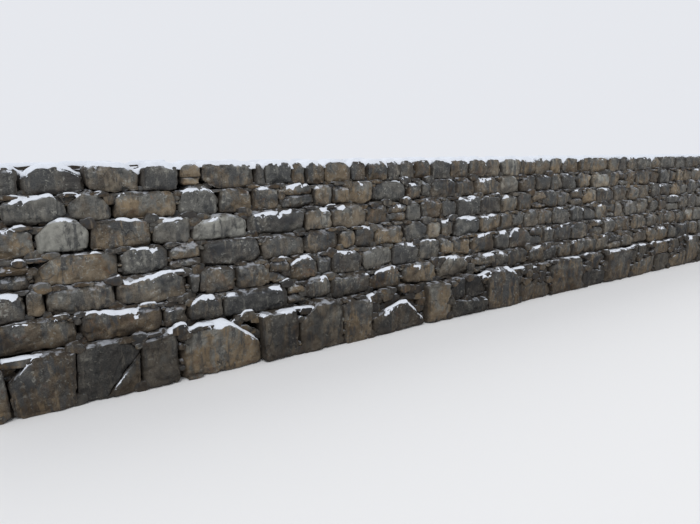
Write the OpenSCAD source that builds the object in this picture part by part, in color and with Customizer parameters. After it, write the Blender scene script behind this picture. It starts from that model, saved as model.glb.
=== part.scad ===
// Dry stone retaining wall of quarried boulders, laid in rough courses with a battered face.
// Large boulders make the base course. Each course above steps back from the one below, and
// leaves a ledge. Packed rubble fills the heart, and rougher stones close the back.
// +X runs along the wall, +Y into the bank and +Z up. The origin is on the ground, under the
// middle of the wall's length and thickness.

/* [Length] */
// Length of one bay
bay_length = 6200; // [4000:100:8000]
// Number of bays
bay_count = 4; // [2:1:5]

/* [Section] */
// Height of the base course
base_height = 1000; // [800:10:1300]
// Height of each course above the base
course_height = 500; // [400:10:650]
// Number of courses above the base
upper_courses = 6; // [4:1:7]
// Set-back of the face for each unit of height
batter = 0.28; // [0.15:0.01:0.35]
// Thickness of the wall at its top course
top_thickness = 1300; // [1250:10:1800]
// Length of a face stone into the wall
stone_depth = 750; // [550:10:800]
// Length of a back stone into the wall
back_depth = 380; // [250:10:420]
// Depth of the packed rubble's top below the wall's top
hearting_drop = 90; // [40:5:150]

/* [Stones] */
// Mean width of the boulders in the base course
base_stone_width = 1150; // [900:10:1500]
// Mean width of the other face stones
stone_width = 720; // [600:10:1000]
// Mean width of the back stones
back_stone_width = 900; // [700:10:1200]
// Step in which the laid stones' joints are read
joint_step = 50; // [40:1:60]
// Least width of a free stone
least_width = 350; // [250:10:450]
// Least distance between a joint and the joints of the course below
bond = 120; // [80:5:160]
// Open joint between neighbours in a course
joint_gap = 16; // [6:1:30]
// Most that a joint leans to each side of upright, at the beds
joint_lean = 42; // [10:1:45]
// Most that a bed rises under a joint above it
bed_rise = 52; // [15:1:70]
// Depth of the bevels round a stone's face
bevel = 75; // [40:1:110]
// Least cut at a stone's corners
corner_cut = 28; // [12:1:40]
// Most that a stone's upper corners are cut
shoulder = 150; // [80:5:200]
// Most that a face stands back from the line of its course
face_relief = 60; // [20:5:90]
// Most that a face is turned out of the line of its course, in degrees
face_turn = 3; // [0:0.5:5]
// Most that a face falls back from its ridge, for each unit across
ridge_fall = 0.13; // [0.02:0.01:0.16]
// Gap between two stones that one node holds, or two lifts of rubble, and their seat
seat_gap = 0.3; // [0.1:0.1:0.5]

/* [Pinning stones] */
// Least depth of a void that gets a pinning stone
least_pin = 45; // [30:1:80]
// Set-back of a pinning stone from the line of its course
pin_recess = 110; // [80:5:160]
// Length of a pinning stone into the wall
pin_depth = 260; // [150:10:350]
// Clearance over a pinning stone
pin_clearance = 8; // [3:1:15]
// Depth from which a void gets two pinning stones, one on the other
double_pin = 170; // [120:5:250]
// Slope of a pinning stone's face back from its foot, for each unit up
pin_slope = 0.3; // [0.1:0.05:0.5]
// Cut at the corners of a pinning stone's face
pin_cut = 22; // [8:1:35]

/* [Hidden] */
SEED = 41;
FRONT = 0;
BACK = 1;
MARGIN = 400; // how far the cutting profiles reach past a stone
CLEAR = 12; // how far their own corners stay off the stone's
TWIN = 300; // sets the chances of a shared cell's upper stone apart

course_total = upper_courses + 1;
wall_length = bay_length * bay_count;
back_line = batter * bed_level(course_total - 1) + top_thickness;

// Joints read along the face from its left end, in steps, base course first. Past the last one
// of a course the stones' widths are free.
LAID = [
    [7, 27, 48, 62, 95, 112, 134, 150, 184, 200, 226],
    [28, 58, 67, 81, 110, 118, 131, 150, 172, 194, 218, 237],
    [15, 21, 43, 68, 73, 88, 103, 110, 126, 133, 150, 167, 184, 199, 208, 219, 238],
    [16, 43, 63, 73, 101, 121, 139, 148, 159, 177, 192, 200, 210, 230, 246],
    [20, 37, 58, 74, 96, 121, 138, 156, 168, 180, 190, 204, 214, 230, 246],
    [11, 31, 46, 69, 86, 100, 112, 129, 137, 148, 162, 180, 191, 198, 216, 232, 250],
    [18, 38, 57, 69, 80, 101, 107, 120, 128, 137, 148, 160, 172, 180, 190, 200, 216, 228, 240]
];

// Boulders with a high crown: course, stone, share of the crown's rise, and shares of the cut at
// the left and the right shoulder
DOMED = [
    [0, 1, 0.5, 5.0, 0.6], [0, 2, 0.6, 0.8, 1.8], [0, 4, 0.8, 2.6, 7.0], [0, 6, 2.6, 3.0, 0.8],
    [0, 8, 1.0, 4.4, 4.4], [0, 10, 1.2, 1.8, 2.6], [1, 0, 0.6, 1.2, 1.0], [1, 3, 0.9, 1.8, 1.0],
    [1, 6, 1.4, 1.6, 1.2], [1, 8, 1.6, 2.3, 1.6], [1, 9, 0.8, 1.2, 0.5], [1, 10, 1.8, 2.6, 2.8],
    [2, 3, 1.2, 0.7, 1.8], [2, 8, 1.2, 1.9, 1.9], [3, 1, 0.4, 2.4, 0.6], [3, 6, 1.1, 1.9, 1.2],
    [4, 1, 3.0, 1.7, 1.3], [4, 3, 0.6, 1.9, 0.4], [4, 4, 0.6, 2.6, 1.7], [4, 7, 1.3, 0.6, 1.7],
    [5, 1, 0.9, 1.3, 1.5], [5, 2, 1.7, 1.6, 2.3], [5, 4, 2.6, 1.6, 1.9], [6, 1, 1.4, 1.8, 2.2],
    [6, 2, 0.5, 0.5, 1.6]
];

// Cells shared by two flat stones, one on the other: course and stone. Some free cells are too.
SHARED = [[1, 5], [1, 11], [2, 7], [3, 0], [3, 3], [4, 9], [5, 7], [6, 4]];

PARTS = concat(
    ["base_boulders"],
    [for (course = [2:course_total - 1]) str("course_", course)],
    ["top_course", "pinning_stones", "hearting", "back_stones"]
);

// Height of the bed under a course, counted from 0 at the ground
function bed_level(course) = course == 0 ? 0 : base_height + (course - 1) * course_height;

// Face line of a course: each one stands back by the batter over the height below it
function face_line(course) = batter * bed_level(course);
function tail_line(course) = face_line(course) + stone_depth;

function reversed(list) = [for (i = [len(list) - 1:-1:0]) list[i]];
function between(table, low, high) = [for (p = table) if (p[0] > low && p[0] < high) p];
function by_x(list) =
    len(list) <= 1 ? list :
    let (pivot = list[floor(len(list) / 2)][0])
    concat(
        by_x([for (p = list) if (p[0] < pivot) p]),
        [for (p = list) if (p[0] == pivot) p],
        by_x([for (p = list) if (p[0] > pivot) p])
    );

// A stone's own random numbers from 0 to 1
function chance(side, course, stone, count = 16) =
    rands(0, 1, count, SEED + side * 7919 + course * 613 + stone * 29);

// Where a stone ends, before its joint is set clear of those below
function end_wanted(side, course, stone, start) =
    is_free(side, course, stone)
        ? start + free_width(side, course) * (0.68 + 0.7 * chance(side, course, stone)[0])
        : LAID[course][stone] * joint_step;
function free_width(side, course) =
    side == BACK ? back_stone_width : course == 0 ? base_stone_width : stone_width;

// A joint moved so that it breaks bond with the course below
function broken_bond(x, below) =
    let (near = [for (j = below) if (abs(j - x) < bond - 0.5) j])
    len(near) == 0 ? x : near[0] + (x < near[0] ? -bond : bond);

// Joints of one course from the left end to the right end
function joints_of_course(side, course, below, stone = 0, start = 0) =
    let (end = max(broken_bond(end_wanted(side, course, stone, start), below), start + least_width / 2))
    end > wall_length - least_width
        ? [start, wall_length]
        : concat([start], joints_of_course(side, course, below, stone + 1, end));
function joints_of_side(side, course = 0, below = []) =
    course == course_total ? [] :
    let (joints = joints_of_course(side, course, below))
    concat([joints], joints_of_side(side, course + 1, joints));

JOINTS = [joints_of_side(FRONT), joints_of_side(BACK)];

function is_end(side, course, joint) = joint == 0 || joint == len(JOINTS[side][course]) - 1;
function lean(side, course, joint) =
    is_end(side, course, joint) ? 0 : joint_lean * (2 * chance(side, course, joint)[1] - 1);
// Where a joint meets the bed below it and the bed above it
function joint_foot(side, course, joint) = JOINTS[side][course][joint] - lean(side, course, joint);
function joint_head(side, course, joint) = JOINTS[side][course][joint] + lean(side, course, joint);
function half_gap(side, course, joint) = is_end(side, course, joint) ? 0 : joint_gap / 2;
// A joint's place at one height
function joint_at(side, course, joint, z) =
    let (t = (z - bed_level(course)) / (bed_level(course + 1) - bed_level(course)))
    joint_foot(side, course, joint) * (1 - t) + joint_head(side, course, joint) * t;

// Past the listed joints a stone is free: its width, crown and shoulders are left to chance
function is_free(side, course, stone) =
    side == BACK || course >= len(LAID) || stone >= len(LAID[course]);

function domed(side, course, stone) =
    let (found = [for (d = DOMED) if (side == FRONT && d[0] == course && d[1] == stone) d])
    len(found) > 0 ? found[0] : undef;

// Height of a stone's crown over the bed above it
function crown_height(side, course, stone) =
    let (
        known = domed(side, course, stone),
        r = chance(side, course, stone)[2],
        high = is_free(side, course, stone) && r < 0.3,
        share = !is_undef(known) ? known[2] : high ? 1.2 + 5 * r : 0.25 + r
    )
    min(bed_rise * share, 0.32 * course_height);

// Height of a stone's crowned top at one place along it, over the bed above
function crown_at(side, course, x) =
    let (
        joints = JOINTS[side][course],
        stone = [for (i = [0:len(joints) - 2]) if (joints[i] <= x && x <= joints[i + 1]) i][0],
        head_l = joint_head(side, course, stone),
        head_r = joint_head(side, course, stone + 1),
        t = max(0, min(1, (x - head_l) / (head_r - head_l)))
    )
    crown_height(side, course, stone) * 4 * t * (1 - t);

// Line of the bed under a course: level at the joints of the course below, and up on the crown of
// a stone below at its own joints, so that each stone's top and underside are both convex
function bed_line(side, course) =
    let (
        level = bed_level(course),
        ends = [[-MARGIN, level], [wall_length + MARGIN, level]],
        low = [for (j = [1:1:len(JOINTS[side][course - 1]) - 2]) [joint_head(side, course - 1, j), level]],
        high = [for (j = [1:1:len(JOINTS[side][course]) - 2])
            let (x = joint_foot(side, course, j)) [x, level + crown_at(side, course - 1, x)]]
    )
    by_x(concat(ends, low, high));

// Top of the wall: each stone has a crown, and falls a little to its joints
function top_line(side) =
    let (last = course_total - 1, joints = JOINTS[side][last], level = bed_level(course_total))
    by_x(concat(
        [[-MARGIN, level], [wall_length + MARGIN, level]],
        [for (j = [1:1:len(joints) - 2])
            [joint_head(side, last, j), level - bed_rise * chance(side, last, j)[3]]],
        [for (j = [0:len(joints) - 2])
            [joints[j] + (joints[j + 1] - joints[j]) * (0.35 + 0.3 * chance(side, last, j)[2]), level]]
    ));

BEDS = [for (side = [FRONT, BACK]) concat(
    [[[-MARGIN, 0], [wall_length + MARGIN, 0]]],
    [for (course = [1:course_total - 1]) bed_line(side, course)],
    [top_line(side)]
)];

// Shares of the shoulder cut at a stone's left and right upper corners
function shoulder_shares(side, course, stone) =
    let (
        known = domed(side, course, stone),
        r = chance(side, course, stone),
        most = is_free(side, course, stone) && r[6] < 0.45 ? 2.6 : 1.1
    )
    is_undef(known) ? [0.25 + most * r[4], 0.25 + most * r[5]] : [known[3], known[4]];

// Both ends of the slope that cuts one upper corner of a stone, the lower end first
function shoulder_line(side, course, stone, right) =
    let (
        joints = JOINTS[side][course],
        high = BEDS[side][course + 1],
        way = right ? -1 : 1,
        joint = right ? stone + 1 : stone,
        gap = half_gap(side, course, joint),
        share = shoulder_shares(side, course, stone)[right ? 1 : 0],
        r = chance(side, course, stone),
        widest = (is_undef(domed(side, course, stone)) ? 0.34 : 0.45) * (joints[stone + 1] - joints[stone]),
        run = min(share * shoulder * (0.8 + 0.4 * r[7]), widest),
        tall = bed_level(course + 1) - bed_level(course),
        fall = min(share * shoulder * (0.5 + 0.3 * r[8]), 0.55 * tall),
        head = joint_head(side, course, joint) + way * gap,
        z = lookup(head, high) - fall
    )
    [[joint_at(side, course, joint, z) + way * gap, z], [head + way * run, lookup(head + way * run, high)]];

// Both ends of the slope at one lower corner of a stone, the upper end first
function corner_line(side, course, stone, right) =
    let (
        joints = JOINTS[side][course],
        low = BEDS[side][course],
        way = right ? -1 : 1,
        joint = right ? stone + 1 : stone,
        gap = half_gap(side, course, joint),
        cut = min(corner_cut * (1 + 1.6 * chance(side, course, stone)[right ? 10 : 9]),
                  0.2 * (joints[stone + 1] - joints[stone])),
        foot = joint_foot(side, course, joint) + way * gap,
        z = lookup(foot, low) + cut
    )
    [[joint_at(side, course, joint, z) + way * gap, z], [foot + way * cut, lookup(foot + way * cut, low)]];

// Front view of a stone, anticlockwise from its lower left corner
function outline(side, course, stone) =
    let (
        low = BEDS[side][course],
        high = BEDS[side][course + 1],
        foot_l = corner_line(side, course, stone, false),
        foot_r = corner_line(side, course, stone, true),
        head_l = shoulder_line(side, course, stone, false),
        head_r = shoulder_line(side, course, stone, true),
        lift = side == BACK && course > 0 ? seat_gap : 0,
        under = concat(foot_l, between(low, foot_l[1][0] + 1, foot_r[1][0] - 1), reversed(foot_r)),
        over = concat(head_l, between(high, head_l[1][0] + 1, head_r[1][0] - 1), reversed(head_r))
    )
    concat([for (p = under) [p[0], p[1] + lift]], reversed(over));

// The part of a convex outline above a level, or below it
function cut_level(points, level, above) =
    let (last = len(points) - 1, way = above ? 1 : -1)
    [for (i = [0:last])
        let (a = points[i], b = points[i == last ? 0 : i + 1],
             a_in = way * (a[1] - level) >= 0, b_in = way * (b[1] - level) >= 0,
             t = a_in == b_in ? 0 : (level - a[1]) / (b[1] - a[1]))
        each concat(a_in ? [a] : [], a_in != b_in ? [a + t * (b - a)] : [])];

function is_shared(side, course, stone) =
    side == FRONT && course > 0 && (is_free(side, course, stone)
        ? chance(side, course, stone)[15] < 0.1
        : len([for (s = SHARED) if (s[0] == course && s[1] == stone) s]) > 0);

// Outlines of the stones in one cell: one stone, or two flat ones
function cell(side, course, stone) =
    let (whole = outline(side, course, stone))
    !is_shared(side, course, stone) ? [whole] :
    let (level = bed_level(course) + course_height * (0.4 + 0.2 * chance(side, course, stone)[11]))
    [cut_level(whole, level - seat_gap / 2, false), cut_level(whole, level + seat_gap / 2, true)];

// One stone: its front view, side view and plan, each cut through the block. The face is set back
// from its line, turned a little, falls back on both sides of a ridge, and is bevelled all round.
// The tail tapers.
module boulder(points, depth, r) {
    x0 = min([for (p = points) p[0]]);
    x1 = max([for (p = points) p[0]]);
    z0 = min([for (p = points) p[1]]);
    z1 = max([for (p = points) p[1]]);
    tall = z1 - z0;
    face = face_relief * max(0, 1.15 * r[12] - 0.15);
    turn = face_turn * (2 * r[11] - 1);
    over = face + bevel * (0.45 + 0.75 * r[13]);
    under = face + bevel * (0.35 + 0.6 * r[14]);
    left = bevel * (0.3 + 0.6 * r[15]);
    right = bevel * (0.3 + 0.6 * r[0]);
    tail = depth * (0.62 + 0.1 * r[1]);
    taper = min(bevel * (0.5 + r[2]), 0.2 * (x1 - x0));
    ridge = x0 + (x1 - x0) * (0.3 + 0.4 * r[3]);
    proud = face_relief * (0.03 + 0.17 * r[4]);
    fall_left = ridge_fall * (0.25 + 0.75 * r[9]) * (ridge - x0 - left);
    fall_right = ridge_fall * (0.25 + 0.75 * r[10]) * (x1 - right - ridge);
    edge_left = face + max(bevel * (1 + r[6]), fall_left + bevel / 2);
    edge_right = face + max(bevel * (1 + r[5]), fall_right + bevel / 2);
    slope_over = (over - face) / (0.24 * tall);
    slope_under = (under - face) / (0.3 * tall);
    side_view = [
        [under + CLEAR * slope_under, z0 - CLEAR], [depth + MARGIN, z0 - CLEAR],
        [depth + MARGIN, z1 - 0.25 * tall], [tail, z1 + 0.02 * tall],
        [over + CLEAR * slope_over, z1 + CLEAR], [face, z1 - 0.24 * tall], [face, z0 + 0.3 * tall]
    ];
    plan = [
        [x0 + left, face - proud + fall_left], [ridge, face - proud],
        [x1 - right, face - proud + fall_right], [x1 + CLEAR, edge_right],
        [x1 + CLEAR, tail], [x1 - taper, depth + CLEAR], [x0 + taper, depth + CLEAR],
        [x0 - CLEAR, tail], [x0 - CLEAR, edge_left]
    ];
    intersection() {
        translate([0, depth, 0]) rotate([90, 0, 0]) linear_extrude(depth) polygon(points);
        translate([(x0 + x1) / 2, 0, 0]) rotate([0, 0, turn]) translate([(x0 - x1) / 2 - MARGIN, 0, 0])
            rotate([90, 0, 90]) linear_extrude(x1 - x0 + 2 * MARGIN) polygon(side_view);
        translate([0, 0, z0 - MARGIN]) linear_extrude(tall + 2 * MARGIN) polygon(plan);
    }
}

// Everything below is drawn with x from the left end and y from the foot of the face
module in_frame() {
    translate([-wall_length / 2, -back_line / 2, 0]) children();
}

function stones_in_bay(side, course, bay) =
    let (joints = JOINTS[side][course])
    [for (i = [0:len(joints) - 2])
        let (middle = (joints[i] + joints[i + 1]) / 2)
        if (middle >= (bay - 1) * bay_length && middle < bay * bay_length) i];

module face_course(bay, course) {
    in_frame() translate([0, face_line(course), 0])
        for (stone = stones_in_bay(FRONT, course, bay)) {
            outlines = cell(FRONT, course, stone);
            for (i = [0:len(outlines) - 1])
                boulder(outlines[i], stone_depth, chance(FRONT, course, stone + TWIN * i));
        }
}

module back_stones(bay) {
    in_frame() translate([0, back_line, 0]) mirror([0, 1, 0])
        for (course = [0:course_total - 1], stone = stones_in_bay(BACK, course, bay))
            boulder(outline(BACK, course, stone), back_depth, chance(BACK, course, stone));
}

// Packed rubble between the tails of the face stones and those of the back stones, in lifts: one
// is packed as each course is laid
module hearting(bay) {
    in_frame() for (course = [0:course_total - 1]) {
        top = bed_level(course + 1) - (course == course_total - 1 ? hearting_drop : seat_gap);
        translate([(bay - 1) * bay_length, tail_line(course), bed_level(course)])
            cube([bay_length, back_line - back_depth - tail_line(course), top - bed_level(course)]);
    }
}

// Place on a line of two points at one height
function line_at(line, z) =
    line[0][0] + (line[1][0] - line[0][0]) * (z - line[0][1]) / (line[1][1] - line[0][1]);

// Wedges between the shoulders of two neighbours, under the stone that bridges them: one, or two in
// a deep void
module pinning_stone(course, joint) {
    left = shoulder_line(FRONT, course, joint - 1, true);
    right = shoulder_line(FRONT, course, joint, false);
    r = chance(FRONT, course, joint);
    lip = 0.2 * pin_cut;
    foot = max(left[0][1], right[0][1]);
    head = bed_level(course + 1) - pin_clearance;
    middle = foot + (head - foot) * (0.45 + 0.2 * r[10]);
    levels = head - foot < least_pin ? [] : head - foot < double_pin ? [[foot, head]]
        : [[foot, middle - seat_gap / 2], [middle + seat_gap / 2, head]];
    for (i = [0:1:len(levels) - 1]) {
        z0 = levels[i][0];
        z1 = levels[i][1];
        x0 = min(line_at(left, z0), line_at(left, z1));
        x1 = max(line_at(right, z0), line_at(right, z1));
        translate([0, pin_recess * (0.8 + 0.4 * r[8 + i]), 0]) intersection() {
            translate([0, pin_depth, 0]) rotate([90, 0, 0]) linear_extrude(pin_depth) polygon([
                [line_at(left, z0), z0], [line_at(right, z0), z0],
                [line_at(right, z1), z1], [line_at(left, z1), z1]
            ]);
            translate([x0 - MARGIN, 0, z0]) rotate([90, 0, 90]) linear_extrude(x1 - x0 + 2 * MARGIN) polygon([
                [lip - CLEAR * pin_slope, -CLEAR], [pin_depth + MARGIN, -CLEAR],
                [pin_depth + MARGIN, z1 - z0 + CLEAR], [lip + (z1 - z0 + CLEAR) * pin_slope, z1 - z0 + CLEAR]
            ]);
            translate([0, 0, z0 - MARGIN]) linear_extrude(z1 - z0 + 2 * MARGIN) polygon([
                [x0 + pin_cut * (0.5 + r[4]), -CLEAR], [x1 - pin_cut * (0.5 + r[5]), -CLEAR],
                [x1 + CLEAR, pin_cut * (2 + r[6])], [x1 + CLEAR, pin_depth + MARGIN],
                [x0 - CLEAR, pin_depth + MARGIN], [x0 - CLEAR, pin_cut * (2 + r[7])]
            ]);
        }
    }
}

module pinning_stones(bay) {
    in_frame() for (course = [0:course_total - 2]) {
        joints = JOINTS[FRONT][course];
        translate([0, face_line(course), 0]) for (joint = [1:1:len(joints) - 2])
            if (joints[joint] >= (bay - 1) * bay_length && joints[joint] < bay * bay_length)
                pinning_stone(course, joint);
    }
}

module base_boulders(bay) {
    color([0.27, 0.26, 0.25]) face_course(bay, 0);
}

module upper_course(bay, course) {
    color([0.36, 0.35, 0.33]) face_course(bay, course - 1);
}

module top_course(bay) {
    color([0.33, 0.33, 0.32]) face_course(bay, course_total - 1);
}

for (bay = [1:bay_count]) {
    base_boulders(bay);
    for (course = [2:course_total - 1])
        upper_course(bay, course);
    top_course(bay);
    color([0.40, 0.35, 0.29]) pinning_stones(bay);
    color([0.30, 0.27, 0.23]) hearting(bay);
    color([0.38, 0.36, 0.33]) back_stones(bay);
}
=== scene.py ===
"""Looks of the dry stone retaining wall: each CAD boulder gets a rough, broken and weathered mesh.

The CAD solids are convex blocks. Their own planes are read from the frame, and are rounded, chipped
and split here, so every boulder keeps its place and size. Small stones are wedged in the gaps, and
packed stones dress the rubble where it shows. Thin snow lies on what faces up.
"""
import math
from functools import cache

import bpy
import numpy as np
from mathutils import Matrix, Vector
from mathutils.bvhtree import BVHTree


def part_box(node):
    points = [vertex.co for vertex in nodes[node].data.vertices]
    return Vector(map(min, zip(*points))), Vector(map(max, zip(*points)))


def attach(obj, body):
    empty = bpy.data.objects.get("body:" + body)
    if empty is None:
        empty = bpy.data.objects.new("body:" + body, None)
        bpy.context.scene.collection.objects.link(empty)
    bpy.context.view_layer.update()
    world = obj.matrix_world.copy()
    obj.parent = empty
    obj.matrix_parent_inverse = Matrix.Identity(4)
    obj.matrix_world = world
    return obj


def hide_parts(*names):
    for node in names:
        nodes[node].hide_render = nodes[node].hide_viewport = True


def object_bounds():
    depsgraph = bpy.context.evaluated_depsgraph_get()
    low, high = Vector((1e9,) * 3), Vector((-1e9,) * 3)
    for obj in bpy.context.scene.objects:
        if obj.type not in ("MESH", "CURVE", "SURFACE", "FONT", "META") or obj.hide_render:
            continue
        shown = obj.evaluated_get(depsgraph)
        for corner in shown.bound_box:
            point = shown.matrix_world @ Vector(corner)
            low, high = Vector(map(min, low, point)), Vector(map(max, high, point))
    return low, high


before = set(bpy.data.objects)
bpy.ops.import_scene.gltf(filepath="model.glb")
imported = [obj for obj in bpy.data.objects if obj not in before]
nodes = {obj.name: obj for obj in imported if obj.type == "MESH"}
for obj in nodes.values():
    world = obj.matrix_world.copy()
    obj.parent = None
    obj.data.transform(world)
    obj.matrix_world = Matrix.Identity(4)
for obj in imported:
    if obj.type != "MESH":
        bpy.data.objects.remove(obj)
cad_low, cad_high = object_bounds()
left_end, right_end, foot, rear = cad_low[0], cad_high[0], cad_low[1], cad_high[1]
bays = sorted({int(name.rsplit("_", 1)[1]) for name in nodes})
bay_length = (right_end - left_end) / len(bays)

# The courses from the foot up, their numbers from 1, and the lowest corner of each
middle_courses = sorted({name.rsplit("_bay_", 1)[0] for name in nodes if name.startswith("course_")})
courses = ["base_boulders", *middle_courses, "top_course"]
total = len(courses)
numbers = range(1, total + 1)
lowest = [np.min([tuple(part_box(f"{part}_bay_{bay}")[0]) for bay in bays], axis=0) for part in courses]

# The photograph's camera, fitted to the lines of the wall's top and foot
PHOTO_WIDTH = 700
FOCAL_PX = 545
SENSOR_MM = 36
CAMERA_PAST_END = 0.4  # metres along the wall from its left end
CAMERA_OFF_FACE = 9.6  # metres in front of the wall's foot
CAMERA_HEIGHT = 4.31
CAMERA_TURN = math.radians(33.75)  # to the right of square on
CAMERA_DIP = math.radians(11.86)
FLOOR_REACH = 150

# Colours, linear
DARK = (0.036, 0.038, 0.041)
MID = (0.112, 0.11, 0.101)
PALE = (0.28, 0.277, 0.247)
BROWN = (0.06, 0.041, 0.024)
OCHRE = (0.288, 0.208, 0.118)
RUST = (0.135, 0.07, 0.038)
DAMP_AND_SHADE = (0.46, 0.44, 0.42)  # what damp and painted shade leave of a colour near the ground
# earth, and also the colour of the painted shade in the joints and along the stones' rims
EARTH_AND_SHADE = (0.044, 0.035, 0.026)
SNOW = (0.78, 0.81, 0.86)
SHADE_SNOW = (0.62, 0.66, 0.73)
FLOOR = (0.8, 0.8, 0.8)
SKY = (0.93, 0.95, 1.0)

# How light and how warm stones are, each with the share of them that is so
LIGHTNESS = {0.06: 0.3, 0.22: 0.36, 0.42: 0.26, 0.64: 0.08}
WARMTH = {0.25: 0.26, 0.65: 0.34, 1.0: 0.4}
# painted shade on small stones: the share of a boulder's lightness that they keep
SMALL_STONE_SHADE = 0.7

# How finely the front of a stone is meshed, in metres, and in how many rings its sides are
FACE_GRID = {1: (0.026, 6), 2: (0.031, 6), 3: (0.041, 5), 4: (0.041, 5)}  # by bay
BACK_GRID = (0.07, 4)
PIN_GRID = (0.03, 3)
RUBBLE_GRID = (0.04, 2)
GAP_GRID = (0.042, 2)
END_RINGS = 18  # on the stones at the wall's two ends, where a side shows
AT_END = 0.1  # how near to an end such a stone comes
SHARP_ANGLE = math.radians(38)  # over it an edge isn't shaded smooth
GRADIENTS = 4096  # the directions that the noise draws on

# How a chip leans off a stone's face, and how much of the stone's reach it takes, from and to
EDGE_CHIP = (1.3, 0.01, 0.085)
FACE_CHIP = (0.22, 0.002, 0.024)
SHOULDER = 0.095  # the most that is sloped off a stone's upper front edge
JOINT = 0.012  # left open between two stones that are made of one boulder

# Stones whose tint stands out: metres from the left end, height, lightness and warmth
TINTS = [
    (0.45, 3.75, 0.16, 0.1), (1.4, 3.75, 0.1, 0.25), (2.4, 3.75, 0.2, 0.6), (3.15, 3.75, 0.24, 0.1),
    (3.75, 3.85, 0.58, 0.9), (4.5, 3.75, 0.34, 0.7), (1.05, 3.25, 0.44, 0.1), (1.9, 3.25, 0.34, 0.35),
    (2.85, 3.25, 0.46, 0.9), (3.85, 3.25, 0.3, 0), (0.5, 2.75, 0.3, 0.9), (1.4, 2.75, 0.8, 0),
    (2.4, 2.75, 0.16, 0.95), (3.3, 2.75, 0.42, 0.15), (4.25, 2.75, 0.8, 0), (1.5, 2.25, 0.44, 0.85),
    (2.65, 2.25, 0.24, 0.05), (4.35, 2.25, 0.14, 0.25), (4, 1.75, 0.22, 0.7), (4.75, 1.75, 0.22, 0.85),
    (2.8, 1.75, 0.38, 0.55), (3.9, 0.5, 0.66, 1), (1.7, 1.25, 0.08, 0.1), (4.6, 1.25, 0.08, 0),
    (1.8, 0.5, 0.14, 0.45), (8.3, 0.3, 0.05, 0.1), (8.6, 1.75, 0.08, 0.1), (10.2, 1.75, 0.55, 0.95),
    (10.3, 1.25, 0.55, 0.4), (7.2, 2.25, 0.5, 1), (9.3, 2.25, 0.15, 0.2), (11.2, 2.25, 0.15, 0),
    (6.6, 2.75, 0.5, 0.6), (5.3, 3.25, 0.2, 0.85), (7.6, 3.25, 0.5, 0.95), (5.6, 3.75, 0.15, 0),
    (7.2, 3.75, 0.25, 0.95), (10.5, 3.75, 0.1, 0.2), (6.15, 0.5, 0.5, 0.55), (9.6, 0.5, 0.55, 0.9),
    (10.6, 0.5, 0.1, 0.2), (12.2, 0.5, 0.4, 0.3), (8.5, 3.25, 0.14, 0.1), (7, 1.75, 0.12, 0.3),
    (6.2, 1.25, 0.15, 0.4), (7, 1.25, 0.12, 0.45), (7.85, 1.75, 0.52, 0.2), (6.65, 3.25, 0.34, 0.8),
    (7.25, 2.75, 0.36, 0.7), (3.6, 1.25, 0.1, 0.5),
]
TINT_REACH = 0.24  # how far from there a stone's middle may be
FACE_STONES_TO = 0.3  # past this Y are only back stones' middles

# Where snow has drifted on a course's ledge: metres from the left end, from and to, and how thickly
DRIFTS = {
    1: [(0.1, 0.7, 0.9), (1.8, 2.45, 1.2), (2.9, 4.8, 1.4), (5.2, 5.7, 1), (7.4, 9.2, 1.2),
        (11.1, 11.4, 0.7), (12.1, 12.8, 1)],
    2: [(0.5, 1.2, 0.8), (1.4, 2.8, 1.2), (3.3, 3.9, 0.9), (5.1, 5.5, 1), (6.3, 6.6, 1.2),
        (7.5, 8.5, 1.2), (9, 9.4, 1), (9.7, 10.4, 0.8), (10.7, 11, 1.3), (11.4, 12.2, 0.8)],
    3: [(0.4, 0.7, 1), (2.2, 3.4, 1.1), (5.4, 6.4, 1.1), (6.8, 7.2, 1), (8.3, 9.1, 0.9), (9.3, 9.9, 0.8),
        (11.3, 11.8, 0.7), (12.1, 13, 1.1)],
    4: [(0.6, 1, 0.8), (1.8, 2, 1), (2.3, 3, 0.7), (7.6, 7.9, 1.1), (9.9, 10.5, 1.1), (10.7, 12, 0.8)],
    5: [(0.5, 0.9, 0.8), (1.3, 1.7, 0.7), (2.3, 2.7, 1.1), (3, 3.5, 1.1), (4, 4.3, 0.7), (4.8, 5.9, 1),
        (6.6, 7.2, 0.9), (8.5, 9.2, 0.7), (10.8, 11.4, 1), (12.2, 12.7, 0.7)],
    6: [(0.7, 1.4, 0.9), (1.5, 1.8, 1.1), (2, 2.6, 0.8), (3.5, 4.2, 1.1), (5.1, 5.4, 0.8),
        (5.8, 6.6, 1.1), (7.5, 7.8, 0.9), (8.7, 9.4, 0.8), (11.2, 12.2, 0.7)],
}
DRIFTS_END = 13.0
FAR_DRIFT = 0.3  # how thickly past that end
TOP_DRIFT = 2.5
LEDGE_SNOW_CELL = {1: 0.023, 2: 0.023, 3: 0.036, 4: 0.036}  # by bay
TOP_SNOW_CELL = 0.055
SNOW_ROOT = 0.03  # how far the underside of the snow is in the stone

# The base boulder that is a ridge: where its top is, its slopes to left and right, and how far the
# rest of the boulder is set back over them
RIDGE_ALONG, RIDGE_HEIGHT, RIDGE_BACK = 8.5, 0.74, 0.3
RIDGE_SLOPES = (0.27, -0.93)
# The base boulder that is broken aslant: a point of the break, its slope, and how far the upper
# stone is set back
BREAK_ALONG, BREAK_HEIGHT, BREAK_SLOPE, BREAK_BACK = 2.12, 0.42, 1.2, 0.09
WHOLE_LENGTH = 9.5  # of the base course, in which the other boulders are whole
IN_TWO_BEDS = 0.6  # the share of them that is in two beds past that
LONG_BOULDER = 1.25  # over it, the upper bed is two stones
# Slopes of the base course on which snow lies: from, to, and the height over which it is bare
BARE_OVER = [(1.8, 2.45, 0.8), (7.6, 9.4, 0.86)]
# Where the small stones are set back from the base course's slopes: from and to
SET_BACK = [(0.3, 0.8), (4.15, 4.8), (7.7, 9.3)]
SET_BACK_BY = 0.15
SET_BACK_BELOW = 1.08  # the height

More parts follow.
